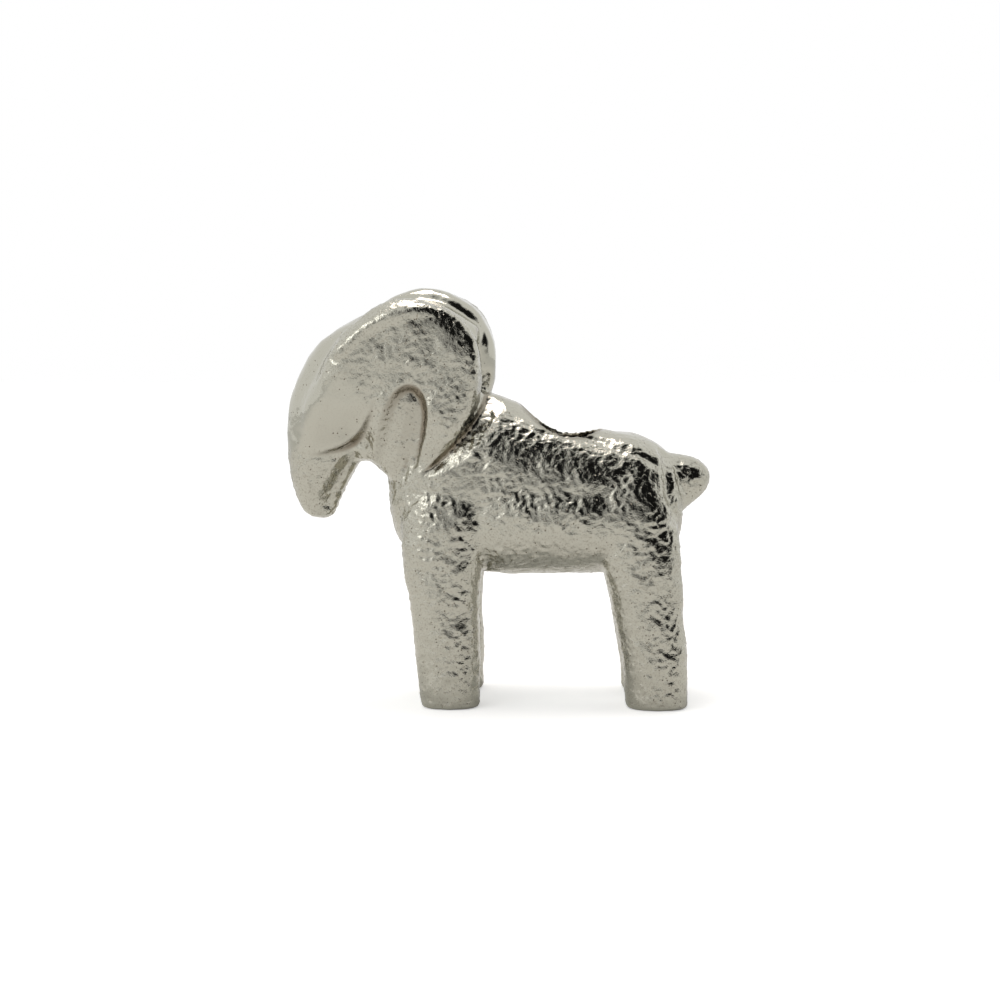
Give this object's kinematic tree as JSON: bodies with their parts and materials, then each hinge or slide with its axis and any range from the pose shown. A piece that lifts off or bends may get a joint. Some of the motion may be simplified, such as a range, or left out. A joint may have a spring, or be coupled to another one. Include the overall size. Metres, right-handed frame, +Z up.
{
  "type": "goat candle holder",
  "caption": "Sand-cast, nickel-plated goat figure with curled horns that stands on its feet and holds a dinner candle in a socket bored in its back.",
  "frame": {"origin": "on the table, under the middle of the goat's overall box", "axes": "+Z up; the goat faces -X; -Y is its left side; the candle stands along +Z"},
  "size_m": [0.1151, 0.0386, 0.1121],
  "materials": {
    "nickel": "sand-cast surface, bright nickel plate"
  },
  "bodies": {
    "root": {"trunk": "nickel", "head": "nickel", "lower_jaw": "nickel", "horn_left": "nickel", "horn_right": "nickel", "ear_left": "nickel", "ear_right": "nickel", "tail": "nickel", "leg_front_left": "nickel", "leg_front_right": "nickel", "leg_hind_left": "nickel", "leg_hind_right": "nickel"}
  },
  "joints": []
}
